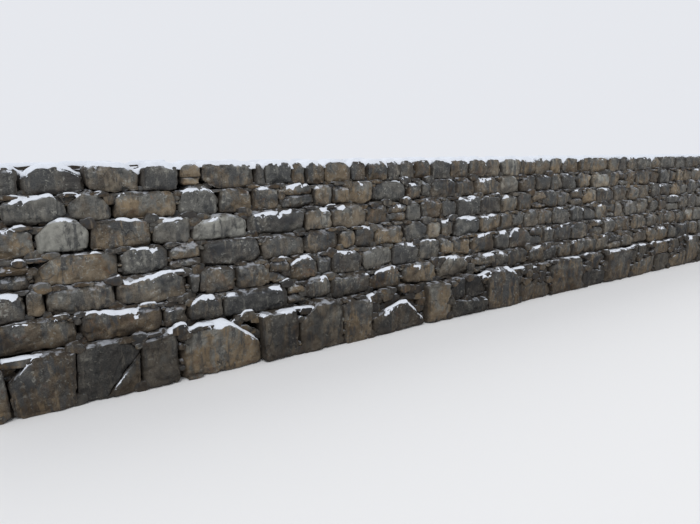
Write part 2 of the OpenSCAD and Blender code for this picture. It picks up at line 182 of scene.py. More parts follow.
# How finely gaps are looked for, at the face and elsewhere
GAP_STEP, COARSE_GAP_STEP = 0.0175, 0.025
LOOK_FROM, GAP_DEPTH = 0.3, 0.19  # in front of a face, and behind it
LEAST_GAP = 0.05
WIDEST_STONE, TALLEST_STONE = 0.26, 0.19
LEFT_OPEN, UPRIGHT_LEFT_OPEN = 0.1, 0.65  # shares of the gaps, and of those that are upright

# Turns from the frame to a side's own axes: across, in and up
FRONT = np.eye(3)
BACK = np.diag([-1.0, -1.0, 1.0])
LEFT = np.array([[0, -1, 0], [1, 0, 0], [0, 0, 1.0]])
RIGHT = np.array([[0, 1, 0], [-1, 0, 0], [0, 0, 1.0]])
UP = np.array([[1, 0, 0], [0, 0, -1], [0, 1, 0.0]])

placed = []  # every rough stone: what it is part of, its points, its quads and its triangles


def face_of(course):
    """The least Y of a course."""
    return lowest[course - 1][1]


def bed(course):
    """Level of the bed under a course, and of the wall's top after the last."""
    return lowest[course - 1][2] if course <= total else cad_high[2]


def stretch(bay):
    """Where a bay starts and ends."""
    start = left_end + (bay - 1) * bay_length
    return start, start + bay_length


def rng(*key):
    """A generator of its own for each thing that is named by numbers."""
    return np.random.RandomState(sum((k + 1) * p for k, p in zip(key, (7919, 104729, 1299709))) % (2**31))


def smoothstep(low, high, value):
    t = np.clip((value - low) / (high - low), 0, 1)
    return t * t * (3 - 2 * t)


@cache
def directions(seed):
    table = rng(seed, 5).normal(size=(GRADIENTS, 3))
    return table / np.linalg.norm(table, axis=1)[:, None]


def gradient_noise(points, size, seed):
    """Smooth noise from about -1 to 1 at each point, with features of that size in metres."""
    q = points / size
    cell = np.floor(q).astype(np.int64)
    f = q - cell
    s = f * f * f * (f * (f * 6 - 15) + 10)
    noise = np.zeros(len(points))
    for corner in range(8):
        step = np.array([corner & 1, corner >> 1 & 1, corner >> 2 & 1])
        at = cell + step
        key = (at[:, 0] * 73856093) ^ (at[:, 1] * 19349663) ^ (at[:, 2] * 83492791)
        grad = directions(seed)[key % GRADIENTS]
        weight = np.prod(np.where(step, s, 1 - s), axis=1)
        noise += weight * np.sum(grad * (f - step), axis=1)
    return noise * 1.6


def mesh_arrays(obj):
    """An object's vertices, and its triangles as indices."""
    mesh = obj.data
    mesh.calc_loop_triangles()
    points = np.zeros(len(mesh.vertices) * 3, np.float32)
    mesh.vertices.foreach_get("co", points)
    corners = np.zeros(len(mesh.loop_triangles) * 3, np.int32)
    mesh.loop_triangles.foreach_get("vertices", corners)
    return points.reshape(-1, 3).astype(float), corners.reshape(-1, 3)


def solids_of(obj):
    """The separate convex solids of a CAD node: each as its corners and its planes."""
    points, corners = mesh_arrays(obj)
    _, same = np.unique(np.round(points * 20000).astype(np.int64), axis=0, return_inverse=True)
    tris = same.reshape(-1)[corners]
    label = np.arange(tris.max() + 1)
    while True:
        new = label.copy()
        np.minimum.at(new, tris, label[tris].min(axis=1)[:, None])
        if (new == label).all():
            break
        label = new
    solids = []
    for mark in np.unique(label[tris[:, 0]]):
        mine = corners[label[tris[:, 0]] == mark]
        solids.append((points[np.unique(mine)], planes_of(points, mine)))
    solids.sort(key=lambda s: tuple(np.round(s[0].mean(0), 3)))
    return solids


def planes_of(points, tris):
    """The distinct planes of a convex solid's triangles, largest first: normals and offsets."""
    a, b, c = (points[tris[:, k]] for k in range(3))
    normal = np.cross(b - a, c - a)
    area = np.linalg.norm(normal, axis=1)
    keep = area > 1e-7
    normal = normal[keep] / area[keep][:, None]
    offset = np.sum(normal * a[keep], axis=1)
    kept = []
    for i in np.argsort(-area[keep]):
        if all(normal[i] @ normal[j] < 0.9995 for j in kept):
            kept.append(i)
    return normal[kept], offset[kept]


def spread(count):
    """Steps from -1 to 1, closer together towards both ends."""
    s = np.linspace(-1, 1, count + 1)
    return 0.55 * s + 0.45 * np.sin(s * math.pi / 2)


@cache
def shell(nx, nz, rows):
    """A box skin on -1 to 1: a fine front at y -1, rings that spread out along the sides and a fan.
    Its points, its quads and its triangles."""
    us, vs = spread(nx), spread(nz)
    points = [(x, -1.0, z) for x in us for z in vs]
    next_u = nz + 1
    firsts = [i * next_u + j for i in range(nx) for j in range(nz)]
    quads = [(k, k + next_u, k + next_u + 1, k + 1) for k in firsts]
    loop = [i * next_u for i in range(nx)] + [nx * next_u + j for j in range(nz)]
    loop += [i * next_u + nz for i in range(nx, 0, -1)] + list(range(nz, 0, -1))
    ring = loop
    for k in range(1, rows + 1):
        new = list(range(len(points), len(points) + len(loop)))
        y = -1 + 2 * (k / rows) ** 2.2
        points += [(points[i][0], y, points[i][2]) for i in loop]
        quads += [(a, c, d, b) for a, b, c, d in zip(ring, ring[1:] + ring[:1], new, new[1:] + new[:1])]
        ring = new
    tris = [(len(points), b, a) for a, b in zip(ring, ring[1:] + ring[:1])]
    points.append((0, 1, 0))
    return np.array(points), np.array(quads), np.array(tris)


def chips(random, corners, centre, count):
    """Cutting planes: facets across a stone's face, shallow, and cuts at its edges, deeper."""
    normals, reach = [], []
    for k in range(count):
        lean, least, most = EDGE_CHIP if k % 3 == 0 else FACE_CHIP
        across = random.normal(size=3) * np.array([1.0, 0.2, 0.9])
        n = across * lean + np.array([0, -1.0, 0])
        n /= np.linalg.norm(n)
        normals.append(n)
        reach.append(((corners - centre) @ n).max() * (1 - random.uniform(least, most)))
    return np.array(normals), np.array(reach)


def shoulders(random, corners, centre, deep):
    """Cutting planes that slope off a stone's upper front edge, and less of its lower one."""
    normals, reach = [], []
    for up, most in ((1.0, deep), (-1.0, 0.7 * deep)):
        n = np.array([random.normal(0, 0.18), -random.uniform(0.6, 1.1), up])
        n /= np.linalg.norm(n)
        normals.append(n)
        reach.append(((corners - centre) @ n).max() - random.uniform(0.3, 1.0) * most)
    return np.array(normals), np.array(reach)


def trimmed(corners, planes, normal, offset):
    """The corners and planes that are left of a convex solid behind one more plane."""
    side = corners @ normal - offset
    kept, lost = corners[side <= 0], corners[side > 0]
    if not len(lost) or not len(kept):
        return corners, planes
    above, below = side[side > 0][:, None], -side[side <= 0][None, :]
    share = (below / (above + below))[:, :, None]
    crossing = (kept[None] + (lost[:, None] - kept[None]) * share).reshape(-1, 3)
    on_planes = (np.abs(crossing @ planes[0].T - planes[1]) < 3e-4).sum(1)
    more = np.vstack([planes[0], normal]), np.append(planes[1], offset)
    return np.vstack([kept, crossing[on_planes > 1]]), more


def flakes(random, u, w, count=6, slope=0.15):
    """Relief of a split face: two sets of crossing planes, one taken from the other."""
    height = np.zeros(len(u))
    for sign in (1, -1):
        tilt = random.normal(0, slope, (count, 2))
        lift = random.normal(0, 0.012, count)
        height += sign * (np.outer(u, tilt[:, 0]) + np.outer(w, tilt[:, 1]) + lift).max(axis=1)
    return height - np.median(height)


def rounded(direction, normals, reach, power):
    """A convex solid's skin with its edges rounded off: how far it is in each direction, which way
    it faces and how near to an edge that is."""
    share = np.maximum(direction @ normals.T, 0) / reach
    weight = share**power
    far = weight.sum(1) ** (-1 / power)
    out = weight @ normals
    out /= np.linalg.norm(out, axis=1)[:, None]
    top_two = np.sort(share, axis=1)[:, -2:]
    return far, out, top_two[:, 0] / top_two[:, 1]


def relief(place, split_face, edge):
    """How far a stone's skin stands out: its split face, with swells and lumps, upright furrows in
    patches, fine grain, and bites out of the edges."""
    upright = place * np.array([1.0, 1.0, 0.45])
    swells = 0.01 * gradient_noise(place, 0.4, 1)
    lumps = 0.011 * gradient_noise(place, 0.17, 2)
    furrowed = smoothstep(-0.2, 0.4, gradient_noise(place, 0.5, 6))
    furrows = 0.02 * np.abs(gradient_noise(upright, 0.12, 3)) * furrowed
    grain = 0.0045 * gradient_noise(place, 0.055, 4)
    bites = 0.03 * smoothstep(0.05, 0.55, gradient_noise(place, 0.12, 7)) * smoothstep(0.84, 0.97, edge)
    return split_face + (swells + lumps) - furrows + grain - bites


def stone_mesh(corners, planes, grid, turn, random, rough=1.0, cuts=12, sharp=(34, 90), sloped=0.0):
    """A rough stone inside a convex solid: its points, its quads and triangles, and its form. The
    form is each point's nearness to an edge, its height share in the stone, its depth behind the
    face and its nearness to the face's rim."""
    corners = corners @ turn.T
    low, high = corners.min(0), corners.max(0)
    centre = (low + high) / 2
    half = (high - low) / 2
    cell, rows = grid
    nx, nz = (int(np.clip(round(2 * h / cell), 3, 60)) for h in (half[0], half[2]))
    box, quads, tris = shell(nx, nz, rows)
    normals = planes[0] @ turn.T
    if (planes[1] - normals @ centre).min() < 0.3 * half.min():
        centre = corners.mean(0)
    reach = planes[1] - normals @ centre
    cutters = [chips(random, corners, centre, cuts)]
    if sloped:
        cutters.append(shoulders(random, corners, centre, sloped))
    for more, cut in cutters:
        normals, reach = np.vstack([normals, more]), np.concatenate([reach, cut])

    direction = box * half
    direction /= np.linalg.norm(direction, axis=1)[:, None]
    far, out, edge = rounded(direction, normals, reach, random.uniform(*sharp))
    points = centre + direction * far[:, None]
    facing = np.clip(-out[:, 1], 0, 1)
    place = points @ turn + random.uniform(-50, 50, 3)
    scale = min(1.0, half[[0, 2]].min() / 0.22)
    split_face = flakes(random, points[:, 0] - centre[0], points[:, 2] - centre[2])
    split_face = np.clip(split_face, -0.034, 0.012) * scale * smoothstep(0.25, 0.85, facing)
    lift = np.minimum(relief(place, split_face, edge) - 0.002, 0.006 + 0.03 * facing)
    points = (points + out * (rough * lift)[:, None]) @ turn

    rise = (points[:, 2] - points[:, 2].min()) / np.ptp(points[:, 2])
    depth = (box[:, 1] + 1) * half[1]
    rim = smoothstep(0.78, 1.0, np.abs(box[:, [0, 2]]).max(1)) ** 2
    form = np.stack([edge, rise, depth, rim], axis=1)
    return points, (quads, tris), form


class Builder:
    """Gathers many stones into one mesh, with their tints and forms in attributes."""

    def __init__(self, kind):
        self.kind = kind
        self.points, self.faces, self.tones, self.forms = [], [], [], []
        self.count = 0

    def add(self, points, faces, form, tone):
        placed.append((self.kind, points, *faces))
        for part in faces:
            self.faces += (part + self.count).tolist()
        self.count += len(points)
        self.points.append(points)
        self.forms.append(form)
        self.tones.append(np.tile(np.array(tone, float), (len(points), 1)))

    def finish(self, name, material):
        obj = new_object(name, np.vstack(self.points), self.faces, material)
        for key, rows in (("stone_tone", self.tones), ("stone_form", self.forms)):
            layer = obj.data.attributes.new(key, "FLOAT_COLOR", "POINT")
            layer.data.foreach_set("color", np.vstack(rows).astype(np.float32).ravel())
        obj.data.set_sharp_from_angle(angle=SHARP_ANGLE)
        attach(obj, "root")
        return obj


def tree_of(kinds, x0, x1):
    """The stones of those kinds that reach into a stretch of the wall, ready for looking at."""
    points, faces, count = [], [], 0
    for kind, p, *parts in placed:
        if kind in kinds and p[:, 0].max() > x0 and p[:, 0].min() < x1:
            points += p.tolist()
            for part in parts:
                faces += (part + count).tolist()
            count += len(p)
    return BVHTree.FromPolygons(points, faces)


def in_scene(name, data):
    obj = bpy.data.objects.new(name, data)
    bpy.context.scene.collection.objects.link(obj)
    return obj


def new_object(name, points, faces, material):
    mesh = bpy.data.meshes.new(name)
    mesh.from_pydata(points.tolist(), [], faces)
    mesh.polygons.foreach_set("use_smooth", [True] * len(mesh.polygons))
    mesh.materials.append(material)
    mesh.update()
    return in_scene(name, mesh)


class Nodes:
    """Short calls for making a material's nodes."""

    def __init__(self, name):
        self.material = bpy.data.materials.new(name)
        self.material.use_nodes = True
        self.tree = self.material.node_tree
        self.shader = self.tree.nodes["Principled BSDF"]

    def new(self, kind, **values):
        node = self.tree.nodes.new(kind)
        for key, value in values.items():
            setattr(node, key, value)
        return node

    def link(self, a, b):
        self.tree.links.new(a, b)

    def put(self, socket, value):
        if isinstance(value, bpy.types.NodeSocket):
            self.link(value, socket)
        else:
            socket.default_value = value

    def math(self, operation, a, b=0.0, clamp=False, kind="ShaderNodeMath"):
        node = self.new(kind, operation=operation)
        if clamp:
            node.use_clamp = True
        self.put(node.inputs[0], a)
        self.put(node.inputs[1], b)
        return node.outputs[0]

    def vector(self, operation, a, b):
        return self.math(operation, a, b, kind="ShaderNodeVectorMath")

    def noise(self, at, scale, detail=4.0, rough=0.55, distort=0.0):
        node = self.new("ShaderNodeTexNoise")
        names = ("Vector", "Scale", "Detail", "Roughness", "Distortion")
        for name, value in zip(names, (at, scale, detail, rough, distort)):
            self.put(node.inputs[name], value)
        return node.outputs["Fac"]

    def swing(self, noise, far):
        """A noise that goes up and down from 0, by half of far each way."""
        return self.product(self.math("SUBTRACT", noise, 0.5), far)

    def ramp(self, value, low, high, to_low=0.0, to_high=1.0):
        node = self.new("ShaderNodeMapRange", interpolation_type="SMOOTHSTEP")
        for socket, given in zip(node.inputs, (value, low, high, to_low, to_high)):
            self.put(socket, given)
        return node.outputs["Result"]

    def mix(self, share, a, b):
        node = self.new("ShaderNodeMix", data_type="RGBA")
        self.put(node.inputs["Factor"], share)
        for socket, value in ((node.inputs[6], a), (node.inputs[7], b)):
            self.put(socket, (*value, 1.0) if isinstance(value, tuple) else value)
        return node.outputs[2]

    def product(self, *values):
        result = values[0]
        for value in values[1:]:
            result = self.math("MULTIPLY", result, value)
        return result

    def part(self, colour, index):
        node = self.new("ShaderNodeSeparateXYZ")
        self.link(colour, node.inputs[0])
        return node.outputs[index]

    def bump(self, height, strength, distance):
        node = self.new("ShaderNodeBump")
        node.inputs["Strength"].default_value = strength
        node.inputs["Distance"].default_value = distance
        self.link(height, node.inputs["Height"])
        self.link(node.outputs[0], self.shader.inputs["Normal"])

    def gloss(self, roughness, specular):
        self.put(self.shader.inputs["Roughness"], roughness)
        self.shader.inputs["Specular IOR Level"].default_value = specular


def stone_nodes(name):
    """A stone's own tint and form, and the places and noises that its colours share."""
    m = Nodes(name)
    tone = m.new("ShaderNodeAttribute", attribute_name="stone_tone").outputs["Color"]
    m.light, m.warm, seed = (m.part(tone, k) for k in range(3))
    form = m.new("ShaderNodeAttribute", attribute_name="stone_form").outputs
    m.edge, m.rise, m.depth = (m.part(form["Color"], k) for k in range(3))
    m.rim = form["Alpha"]
    geometry = m.new("ShaderNodeNewGeometry").outputs
    m.along, m.height = (m.part(geometry["Position"], k) for k in (0, 2))
    m.facing_up = m.part(geometry["Normal"], 2)
    shift = m.new("ShaderNodeCombineXYZ")
    for k, far in enumerate((61, 37, 83)):
        m.link(m.product(seed, far), shift.inputs[k])
    m.at = m.vector("ADD", geometry["Position"], shift.outputs[0])
    m.streaked = m.vector("MULTIPLY", m.at, (1.0, 1.0, 0.14))
    m.tall = m.vector("MULTIPLY", m.at, (1.0, 1.0, 0.5))
    m.zone = m.noise(m.at, 2.1, 3, 0.5, 0.5)
    m.mottle = m.noise(m.at, 5.5, 8, 0.64, 0.5)
    m.grain = m.noise(m.at, 46, 6, 0.7)
    return m


def quarried(m):
    """Zones, mottles and grains from dark to pale grey: their colour, and how light it is."""
    level = m.math("ADD", m.math("ADD", m.light, m.swing(m.zone, 1.3)), m.swing(m.mottle, 1.1))
    level = m.math("ADD", level, m.swing(m.grain, 0.5), clamp=True)
    colour = m.mix(m.ramp(level, 0.0, 0.5), DARK, MID)
    return m.mix(m.ramp(level, 0.5, 1.0), colour, PALE), level


def stained(m, colour, level):
    """Brown and ochre stains, more of them low on a stone, and rust."""
    low_down = m.ramp(m.rise, 0.8, 0.05, 0.0, 0.15)
    stain = m.ramp(m.math("ADD", m.noise(m.tall, 3.4, 6, 0.62, 0.5), low_down), 0.46, 0.6)
    colour = m.mix(m.product(stain, m.warm, 0.9), colour, m.mix(level, BROWN, OCHRE))
    rust = m.ramp(m.noise(m.at, 4.1, 7, 0.65, 0.8), 0.57, 0.68)
    return m.mix(m.product(rust, m.warm, 0.6), colour, RUST)


def washed(m, colour):
    """Dark upright wash with paler streaks between, in patches."""
    wash = m.noise(m.streaked, 10, 4, 0.6)
    patches = m.ramp(m.noise(m.at, 1.9, 2), 0.38, 0.6)
    colour = m.mix(m.product(m.ramp(wash, 0.49, 0.6), patches, 0.85), colour, DARK)
    streak = m.product(m.ramp(wash, 0.45, 0.35), patches, 0.4)
    return m.mix(streak, colour, m.mix(m.warm, PALE, OCHRE))


def crusted_and_rim_shaded(m, colour):
    """Pale crust, worn edges, and painted shade along the rim of the face, in the colour of earth."""
    crust = m.ramp(m.noise(m.at, 17, 5, 0.6, 0.6), 0.56, 0.66)
    colour = m.mix(m.product(crust, m.ramp(m.zone, 0.36, 0.58), 0.75), colour, PALE)
    worn = m.ramp(m.edge, 0.92, 1.0)
    colour = m.mix(m.product(worn, m.ramp(m.grain, 0.35, 0.6), 0.18), colour, PALE)
    # painted shade along each face's rim, where rounded edges turn away into shade, in the colour of earth
    rim_shade = m.ramp(m.mottle, 0.7, 0.3, 0.2, 0.55)
    return m.mix(m.product(m.rim, rim_shade), colour, EARTH_AND_SHADE)


def hairlines(m):
    """How much each point is in a hairline crack."""
    crack = m.new("ShaderNodeTexVoronoi", feature="DISTANCE_TO_EDGE")
    m.put(crack.inputs["Vector"], m.vector("ADD", m.tall, m.swing(m.zone, 0.25)))
    m.put(crack.inputs["Scale"], 1.7)
    thin = m.ramp(crack.outputs["Distance"], 0.014, 0.003)
    return m.product(thin, m.ramp(m.noise(m.at, 1.3), 0.52, 0.62))


def grimed_and_shaded(m, colour):
    """Darker near the ground from damp and painted shade, earth and painted shade deep in the joints, and a
    dusting of snow on what faces up.
    """
    # darker towards the ground, up to about 2 m: damp, and painted shade
    damp_and_shade = m.ramp(m.math("ADD", m.height, m.swing(m.zone, 0.9)), 2.1, 0.5)
    damp_and_shade = m.product(damp_and_shade, m.ramp(m.warm, 1.0, 0.7, 0.5, 1.0))
    colour = m.mix(damp_and_shade, colour, m.vector("MULTIPLY", colour, DAMP_AND_SHADE))
    # earth and painted shade in the joints: darker the further a point lies behind its stone's face, less
    # so near the wall's ends
    dirt_and_shade = m.ramp(m.math("ADD", m.depth, m.product(m.grain, 0.04)), 0.05, 0.15)
    off_ends = m.ramp(m.math("ABSOLUTE", m.along), right_end - 0.15, right_end - 0.35, 0.2, 0.7)
    colour = m.mix(m.product(dirt_and_shade, off_ends), colour, EARTH_AND_SHADE)
    off_ground = m.ramp(m.height, 0.1, 0.4)
    up = m.ramp(m.facing_up, 0.45, 0.9)
    return m.mix(m.product(up, m.ramp(m.mottle, 0.46, 0.6), off_ground, 0.45), colour, SHADE_SNOW)


def stone_material(name):
    """Weathered quarried stone, with its fine relief and its cracks as bump."""
    m = stone_nodes(name)
    colour, level = quarried(m)
    colour = crusted_and_rim_shaded(m, washed(m, stained(m, colour, level)))
    cracked = hairlines(m)
    colour = m.mix(m.product(cracked, 0.6), colour, DARK)
    m.link(grimed_and_shaded(m, colour), m.shader.inputs["Base Color"])
    m.gloss(m.ramp(m.mottle, 0.3, 0.7, 0.93, 0.78), 0.3)
    scratches = m.product(m.noise(m.streaked, 38, 4, 0.6), 0.3)
    height = m.math("ADD", m.noise(m.at, 11, 8, 0.68), scratches)
    m.bump(m.math("SUBTRACT", height, m.product(cracked, 0.35)), 0.85, 0.032)
    return m.material


def plain_material(name, low, high, scale, roughness, distance):
    """Two shades of one loose stuff, with its grain as bump."""
    m = Nodes(name)
    place = m.new("ShaderNodeNewGeometry").outputs["Position"]
    m.link(m.mix(m.noise(place, scale, 7, 0.62), low, high), m.shader.inputs["Base Color"])
    m.gloss(roughness, 0.25)
    m.bump(m.noise(place, scale * 2.6, 5, 0.65), 0.6, distance)
    return m.material


stone = stone_material("weathered_stone")
fines = plain_material("packed_fines", EARTH_AND_SHADE, DARK, 22, 0.95, 0.02)
snow = plain_material("snow", SNOW, SHADE_SNOW, 30, 0.7, 0.008)


def drawn(random, shares, off):
    """One of some values, drawn by their shares, and then moved off it."""
    return random.choice(list(shares), p=list(shares.values())) + random.uniform(-off, off)


def tint(random, middle=None):
    """Lightness, warmth and place in the noise of one stone."""
    light = drawn(random, LIGHTNESS, 0.07)
    warm = drawn(random, WARMTH, 0.15)
    if middle is not None and middle[1] < FACE_STONES_TO:
        for along, height, known_light, known_warm in TINTS:
            if np.hypot(middle[0] - left_end - along, middle[2] - height) < TINT_REACH:
                light, warm = known_light, known_warm
    return light, np.clip(warm, 0, 1), random.uniform(0, 1), 1.0


def shaded_small_tint(random):
    """The tint of a small stone, darker than a boulder's: painted shade, as it sits among larger stones."""
    light, *rest = tint(random)
    return SMALL_STONE_SHADE * light, *rest


def parted(solid, normal, point):
    """The two stones that an open joint through a point makes of one."""
    level = normal @ point
    return trimmed(*solid, normal, level - JOINT / 2), trimmed(*solid, -normal, -level - JOINT / 2)


def side_by_side(solid, along, lean):
    """A solid parted by an upright joint, from left to right."""
    return parted(solid, np.array([1.0, 0, lean]), (along, 0, solid[0][:, 2].min()))


def in_beds(solid, along, height, slope, back=0.0):
    """A solid parted by a slanted bed, from below. The upper stone is set back."""
    lower, upper = parted(solid, np.array([-slope, 0, 1.0]), (along, 0, height))
    return lower, trimmed(*upper, np.array([0, -1.0, 0]), -(upper[0][:, 1].min() + back))


def ridged(solid, along):
    """A ridge, and the rest of its boulder far back over each of its slopes."""
    ridge, over = solid, []
    for half, slope in zip(side_by_side(solid, along, 0.0), RIDGE_SLOPES):
        over.append(in_beds(half, along, RIDGE_HEIGHT, slope, RIDGE_BACK)[1])
        ridge = in_beds(ridge, along, RIDGE_HEIGHT, slope)[0]
    return [ridge, *over]


def laid(solid, random):
    """A boulder in two beds, with two stones in the upper one if it is long."""
    low, high = solid[0].min(0), solid[0].max(0)
    middle = (low[0] + high[0]) / 2
    height, slope = random.uniform(0.42, 0.62) * high[2], random.uniform(-0.2, 0.2)
    lower, upper = in_beds(solid, middle, height, slope, random.uniform(0.06, 0.16))
    if high[0] - low[0] <= LONG_BOULDER:
        return lower, upper
    along, lean = middle + random.uniform(-0.2, 0.2), random.uniform(-0.15, 0.15)
    return lower, *side_by_side(upper, along, lean)


def broken(course, solid, random):
    """The stones that show in place of a boulder. In the base course one has a slanted break, one
    is a ridge, and some others are in two beds."""
    if course != 1:
        return [solid]
    low, high = solid[0].min(0)[0], solid[0].max(0)[0]
    if low < BREAK_ALONG + left_end < high:
        return in_beds(solid, BREAK_ALONG + left_end, BREAK_HEIGHT, BREAK_SLOPE, BREAK_BACK)
    if low < RIDGE_ALONG + left_end < high:
        return ridged(solid, RIDGE_ALONG + left_end)
    if low < left_end + WHOLE_LENGTH or random.uniform() > IN_TWO_BEDS:
        return [solid]
    return laid(solid, random)


def dress(name, kind, grid, turn, **options):
    """One piece of rough stones in place of a CAD node."""
    builder = Builder(kind)
    number = sorted(nodes).index(name)
    cell, rings = grid
    for i, solid in enumerate(solids_of(nodes[name])):
        random = rng(number, i)
        for corners, planes in broken(kind, solid, rng(number, i, 9)):
            x = corners[:, 0]
            at_end = x.min() < left_end + AT_END or x.max() > right_end - AT_END
            fine = (cell, END_RINGS if at_end else rings)
            points, faces, form = stone_mesh(corners, planes, fine, turn, random, **options)
            builder.add(points, faces, form, tint(random, corners.mean(0)))
    obj = builder.finish(name.replace("_bay", "_rough_bay"), stone)
    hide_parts(name)


def dress_boulders():
    """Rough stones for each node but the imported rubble."""
    for name in sorted(nodes):
        part, bay = name.rsplit("_bay_", 1)
        if part == "back_stones":
            dress(name, "back", BACK_GRID, BACK)
        elif part == "pinning_stones":
            dress(name, "pins", PIN_GRID, FRONT, rough=0.8, cuts=10, sharp=(26, 70))
        elif part in courses:
            course = courses.index(part) + 1
            looks = {"sloped": SHOULDER} if course < total else {"sloped": SHOULDER / 4, "sharp": (60, 120)}
            dress(name, course, FACE_GRID[int(bay)], FRONT, **looks)


def clipped(outline, middle, normal, gap):
    """A convex outline cut back by a line across middle, to the side that normal points away from."""
    side = (outline - middle) @ normal + gap
    kept = []
    for k in range(len(outline)):
        m = (k + 1) % len(outline)
        if side[k] <= 0:
            kept.append(outline[k])
        if (side[k] < 0) != (side[m] < 0) and side[k] != side[m]:
            kept.append(outline[k] + (outline[m] - outline[k]) * side[k] / (side[k] - side[m]))
    return np.array(kept)


def cells(low_u, high_u, low_v, high_v, size, random):
    """Outlines of uneven stones that fill a rectangle and leave thin gaps."""
    rows = max(1, round((high_v - low_v) / (0.72 * size)))
    deep = (high_v - low_v) / rows
    seeds = []
    for k in range(rows):
        u = low_u - random.uniform(0, 0.8) * size
        while u < high_u + 0.4 * size:
            seeds.append((u, low_v + deep * (k + 0.5 + random.uniform(-0.24, 0.24))))
            u += size * random.uniform(0.65, 1.6)
    seeds = np.array(seeds)
    found = []
    for seed in seeds:
        outline = np.array([(low_u, low_v), (high_u, low_v), (high_u, high_v), (low_u, high_v)], float)
        near = np.linalg.norm(seeds - seed, axis=1)
        for other in seeds[(near > 0) & (near < 3 * size)]:
            away = (other - seed) / np.linalg.norm(other - seed)
            if len(outline) > 2:
                outline = clipped(outline, (seed + other) / 2, away, 0.005)
        if len(outline) > 2 and np.ptp(outline[:, 0]) > 0.03 and np.ptp(outline[:, 1]) > 0.03:
            found.append(outline)
    return found


def prism(outline, near, far, turn):
    """Corners and planes of a small stone with that outline, between two depths behind a side."""
    count = len(outline)
    points = np.array([(u, d, v) for d in (near, far) for u, v in outline]) @ turn
    centre = points.mean(0)
    normals, offsets = [], []
    rims = [(k, (k + 1) % count, count + k) for k in range(count)]
    for i, j, k in [(0, 1, 2), (count, count + 1, count + 2)] + rims:
        n = np.cross(points[j] - points[i], points[k] - points[i])
        size = np.linalg.norm(n)
        if size > 1e-8:
            n = n / size if n @ (points[i] - centre) > 0 else -n / size
            normals.append(n)
            offsets.append(n @ points[i])
    return points, (np.array(normals), np.array(offsets))


def pack(builder, outlines, turn, face, random):
    """Small stones side by side at a face."""
    for outline in outlines:
        near = face + random.uniform(0, 0.045)
        points, planes = prism(outline, near, near + 0.15, turn)
        points, faces, form = stone_mesh(points, planes, RUBBLE_GRID, turn, random, 0.5, 7, (12, 34))
        # a set depth that keeps these stones almost clear of the painted shade in the joints
        form[:, 2] = 0.03
        builder.add(points, faces, form, shaded_small_tint(random))


def draw_in(node, name, bay, end):
    """A core of fines in place of an end's rubble, drawn in from its packed stones."""
    core = node.data.copy()
    core.name = f"rubble_core_bay_{bay}"
    for v in core.vertices:
        v.co.x = max(v.co.x, end + 0.09) if end < 0 else min(v.co.x, end - 0.09)
    core_obj = in_scene(core.name, core)
    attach(core_obj, "root")
    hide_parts(name)


def dress_rubble(bay):
    """The fines of a bay, and packed stones where its rubble shows."""
    name = f"hearting_bay_{bay}"
    node = nodes[name]
    node.data.materials.clear()
    node.data.materials.append(fines)
    random = rng(bay, 77)
    builder = Builder("rubble")
    points, _ = mesh_arrays(node)
    top, back = points[:, 2].max(), points[:, 1].max()
    tail = points[points[:, 2] > top - 1e-3][:, 1].min()
    pack(builder, cells(*stretch(bay), tail + 0.01, back - 0.01, 0.15, random), UP, -top - 0.02, random)
    ends = {bays[0]: (LEFT, left_end), bays[-1]: (RIGHT, right_end)}
    if bay in ends:
        turn, end = ends[bay]
        for course in numbers:
            low, high = bed(course), min(bed(course + 1), top)
            tail = points[np.abs(points[:, 2] - low) < 0.002][:, 1].min()
            span = sorted(turn[0, 1] * y for y in (tail + 0.01, back - 0.01))
            outlines = cells(*span, low + 0.004, high - 0.004, 0.17, random)
            pack(builder, outlines, turn, -abs(end) + 0.012, random)
        draw_in(node, name, bay, end)
    builder.finish(f"rubble_bay_{bay}", stone)


def run_lengths(open_cells):
    """For each open cell, the start and the length of the run of open cells along the first axis."""
    start, length = np.zeros((2, *open_cells.shape), int)
    for j in range(open_cells.shape[1]):
        line = np.pad(open_cells[:, j], 1).astype(int)
        turns = np.flatnonzero(np.diff(line))
        for a, b in zip(turns[::2], turns[1::2]):
            start[a:b, j], length[a:b, j] = a, b - a
    return start, length


def look_for_gaps(tree, turn, face, us, vs):
    """Where nothing stands close behind a side's face, looking square on to it."""
    ahead, far = Vector(np.array([0, 1.0, 0]) @ turn), LOOK_FROM + GAP_DEPTH
    starts = [[Vector(np.array([u, face - LOOK_FROM, v]) @ turn) for v in vs] for u in us]
    return np.array([[tree.ray_cast(start, ahead, far)[0] is None for start in row] for row in starts])


def wedge(random, middle, size, face, turn):
    """A small angular stone of that width and height, wedged behind a side."""
    count = random.randint(5, 8)
    angle = (np.arange(count) + random.uniform(-0.3, 0.3, count)) * 2 * math.pi / count
    angle += random.uniform(0, 6)
    reach = random.uniform(0.54, 0.66, count)
    outline = np.stack([np.cos(angle) * reach * size[0], np.sin(angle) * reach * size[1]], axis=1) + middle
    near = face + random.uniform(0.055, 0.125)
    points, planes = prism(outline, near, near + 0.16, turn)
    points, faces, form = stone_mesh(points, planes, GAP_GRID, turn, random, 0.6, 6, (24, 70))
    points[:, 2] = np.maximum(points[:, 2], 0)
    # deeper, so the painted shade in the joints reaches further over these stones
    form[:, 2] += 0.06
    return points, faces, form


